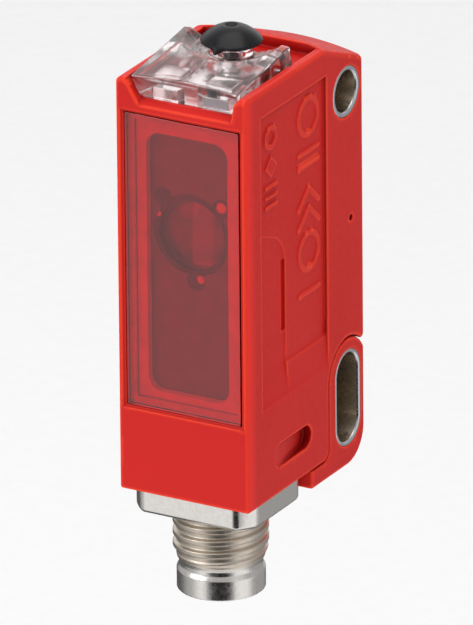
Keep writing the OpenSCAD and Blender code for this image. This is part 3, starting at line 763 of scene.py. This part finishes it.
# ---------------------------------------------------------------- the plug's shell
def shell_field(x, y, z):
    """A square flange with turned corners, a thread, a neck and the smooth end ring."""
    out = np.hypot(x, y - PLUG_Y)
    turned = rod(x, y, 0, sum(FLANGE_Y) / 2, FLANGE_R)
    plan = meet(0.22, abs(x) - FLANGE_HALF, slab(y, *FLANGE_Y), turned)
    flange = meet(0.05, plan, slab(z, -FLANGE_H, 0), (plan - FLANGE_H - z) * 0.7071 + 0.2)
    # the thread's crest climbs 1 mm a turn and fades out above the neck
    phase = z - np.arctan2(y - PLUG_Y, x) / (2 * math.pi)
    crest = np.clip((0.36 - abs(phase - np.round(phase))) / 0.2, 0, 1)
    fade = np.clip((z + 6.3) / 0.7, 0, 1)
    threaded = THREAD_R + THREAD_RISE * crest * (3 - 2 * crest) * crest * fade
    neck = np.interp(z, (-7.45, -7.1, -6.75, THREAD_END), (RING_R, NECK_R, NECK_R, THREAD_R))
    body = meet(0.05, out - np.where(z > THREAD_END, threaded, neck), slab(z, PLUG_LOW, 0))
    body = meet(0.09, body, PLUG_LOW - z)
    d = np.minimum(flange, body)
    # the spigot in the case with its seal's groove, the socket, and the way through for the contacts
    d = np.minimum(d, np.maximum(out - SPIGOT_R, slab(z, -1, SPIGOT_TOP)))
    d = np.maximum(d, 0.5 - np.hypot(out - 3.5, z - SPIGOT_TOP / 2))
    d = cut(0.12, d, np.maximum(out - SOCKET_R, z - SOCKET_END))
    return cut(0.05, d, np.maximum(out - 2.4, slab(z, -4, 3)))


moulded("connector", ["connector_shell"], shell_field,
        both_ways((0, 0.075), (3.9, 0.12), (5.05, 0.06), (5.5, 0.1)),
        lines((0.4, 0.06), (0.9, 0.09), (9.4, 0.06), (9.98, 0.1)),
        lines((-9.2, 0.06), (-1.6, 0.2), (-0.2, 0.1), (2.05, 0.1)))


# ---------------------------------------------------------------- the sleeves
def sleeve(name, node, travel, outer, steps=96):
    """A sleeve with chamfered ends round a stadium whose end arcs stand travel apart."""
    end = [(SLEEVE_R, HALF - 0.22), (SLEEVE_R + 0.03, HALF - 0.15), (SLEEVE_R + 0.12, HALF - 0.04),
           (SLEEVE_R + 0.17, HALF - 0.02), (outer - 0.07, HALF - 0.02), (outer - 0.02, HALF - 0.04),
           (outer, HALF - 0.1)]
    profile = end + [(r, -x) for r, x in reversed(end)]
    low_c, high_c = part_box(node)
    centre = local((low_c + high_c) / 2)
    bm = bmesh.new()
    loops = []
    for r, x in profile:
        loop = []
        for i in range(steps):
            turn = 2 * math.pi * i / steps
            lift = travel / 2 * (1 if math.sin(turn) > 0 else -1)
            y, z = r * math.cos(turn), r * math.sin(turn) + lift
            loop.append(bm.verts.new(at(centre.x + x, centre.y + y, centre.z + z)))
        loops.append(loop)
    for a, b in zip(loops, loops[1:] + loops[:1]):
        for i in range(steps):
            j = (i + 1) % steps
            bm.faces.new((a[i], a[j], b[j], b[i]))
    bmesh.ops.recalc_face_normals(bm, faces=bm.faces)
    for e in bm.edges:
        e.smooth = e.calc_face_angle(0) <= math.radians(50)
    for f in bm.faces:
        f.smooth = True
    mesh = bpy.data.meshes.new(name)
    bm.to_mesh(mesh)
    bm.free()
    placed(name, mesh, [node])


sleeve("upper_bush", "upper_sleeve", 0.0, BORE_R)
sleeve("slot_bush", "slot_sleeve", 4.0, SLOT_R)


# ---------------------------------------------------------------- the window
def window_field(x, y, z):
    plan = meet(0.15, abs(x) - 5.0, slab(z, WINDOW_LOW + 0.04, WINDOW_HIGH - 0.04))
    return meet(0.05, plan, slab(y, 0.12, 0.95))


moulded("window", ["front_window"], window_field, both_ways((0, 1), (4.6, 0.1), (4.92, 0.02), (5.04, 0.02)),
        lines((0.06, 0.02), (0.2, 0.3), (0.85, 0.02), (1.01, 0.02)),
        lines((7.05, 0.02), (7.17, 0.1), (7.5, 1), (30.7, 0.1), (31.1, 0.02), (31.22, 0.02)))

# ---------------------------------------------------------------- camera
# It looks from the front right and above, turned about the vertical, tipped down and rolled a little.
TURN, TIP, ROLL = math.radians(29.5896), math.radians(22.2546), math.radians(-0.5175)
AIM_ASIDE, AIM_ABOVE, DISTANCE = 4.05277, 14.518136, 1265.618932
right = Vector((math.cos(TURN), math.sin(TURN), 0))
ahead = Vector((-math.sin(TURN) * math.cos(TIP), math.cos(TURN) * math.cos(TIP), -math.sin(TIP)))
up = Vector((-math.sin(TURN) * math.sin(TIP), math.cos(TURN) * math.sin(TIP), math.cos(TIP)))
camera_x = right * math.cos(ROLL) + up * math.sin(ROLL)
camera_y = up * math.cos(ROLL) - right * math.sin(ROLL)
camera = bpy.data.objects.new("camera", bpy.data.cameras.new("camera"))
scene.collection.objects.link(camera)
scene.camera = camera
camera.data.lens = 949.54
camera.data.clip_start = 0.1
camera.data.clip_end = 20.0
camera.data.shift_x = -0.000778
camera.data.shift_y = -0.000836
pose = Matrix((camera_x, camera_y, -ahead)).transposed().to_4x4()
pose.translation = START + (camera_x * AIM_ASIDE + camera_y * AIM_ABOVE - ahead * DISTANCE) * MM
camera.matrix_world = pose

# ---------------------------------------------------------------- floor and lamps, in metres
floor_bm = bmesh.new()
bmesh.ops.create_grid(floor_bm, x_segments=2, y_segments=2, size=3.0)
bmesh.ops.translate(floor_bm, verts=floor_bm.verts, vec=(0, 0, cad_box[0][2] - 0.03))
floor_mesh = bpy.data.meshes.new("floor")
floor_bm.to_mesh(floor_mesh)
floor = bpy.data.objects.new("floor", floor_mesh)
scene.collection.objects.link(floor)
floor.data.materials.append(plain("floor_pale", (0.98, 0.98, 0.98), 0.8, 20.0, 0.01, 0.01))
floor.visible_glossy = False

middle = (Vector(cad_box[0]) + Vector(cad_box[1])) / 2


def softbox(name, offset, size, power):
    """A square lamp at an offset from the object's middle, aimed at it."""
    lamp = bpy.data.lights.new(name, "AREA")
    lamp.size = size
    lamp.energy = power
    o = bpy.data.objects.new(name, lamp)
    scene.collection.objects.link(o)
    o.location = middle + Vector(offset)
    o.rotation_mode = "QUATERNION"
    o.rotation_quaternion = (-Vector(offset)).to_track_quat("-Z", "Y")


softbox("key", (-0.30, -0.40, 0.25), 0.35, 0.9)
softbox("top", (0.05, -0.05, 0.6), 0.6, 1.95)
softbox("fill", (0.45, -0.12, 0.15), 0.3, 0.1)

# ---------------------------------------------------------------- the studio round the object
# An even pale tent, and patches of it that are brighter or darker: the direction of each patch,
# the angles between which it fades out, and its level.
TENT_LEVEL = 0.43
PATCHES = (
    (0, -90, 80, 95, 0.95),
    (-150, 24, 22, 48, 1.05),
    (150, -22, 25, 44, 0.36),
    (-75, -22, 18, 42, 0.45),
    (-130, -42, 32, 55, 0.10),
    (27, -22, 26, 37, 0.02),
)
world = bpy.data.worlds.new("studio")
scene.world = world
world.use_nodes = True
wt = world.node_tree
tent = wt.nodes["Background"]
tent.inputs["Color"].default_value = (1, 1, 1, 1)
toward = wt.nodes.new("ShaderNodeTexCoord").outputs["Generated"]


def lobe(azimuth, elevation, inner, outer):
    """1 within inner degrees of a direction, falling to 0 at outer degrees."""
    a, e = math.radians(azimuth), math.radians(elevation)
    dot = wt.nodes.new("ShaderNodeVectorMath")
    dot.operation = "DOT_PRODUCT"
    dot.inputs[1].default_value = (math.sin(a) * math.cos(e), -math.cos(a) * math.cos(e), math.sin(e))
    wt.links.new(toward, dot.inputs[0])
    n = wt.nodes.new("ShaderNodeMapRange")
    n.interpolation_type = "SMOOTHSTEP"
    n.inputs["From Min"].default_value = math.cos(math.radians(outer))
    n.inputs["From Max"].default_value = math.cos(math.radians(inner))
    wt.links.new(dot.outputs["Value"], n.inputs["Value"])
    return n.outputs["Result"]


shade = None
for azimuth, elevation, inner, outer, level in PATCHES:
    n = wt.nodes.new("ShaderNodeMix")
    n.data_type = "FLOAT"
    wt.links.new(lobe(azimuth, elevation, inner, outer), n.inputs["Factor"])
    if shade is None:
        n.inputs["A"].default_value = TENT_LEVEL
    else:
        wt.links.new(shade, n.inputs["A"])
    n.inputs["B"].default_value = level
    shade = n.outputs["Result"]
wt.links.new(shade, tent.inputs["Strength"])
scene.view_settings.view_transform = "Standard"
scene.view_settings.look = "None"
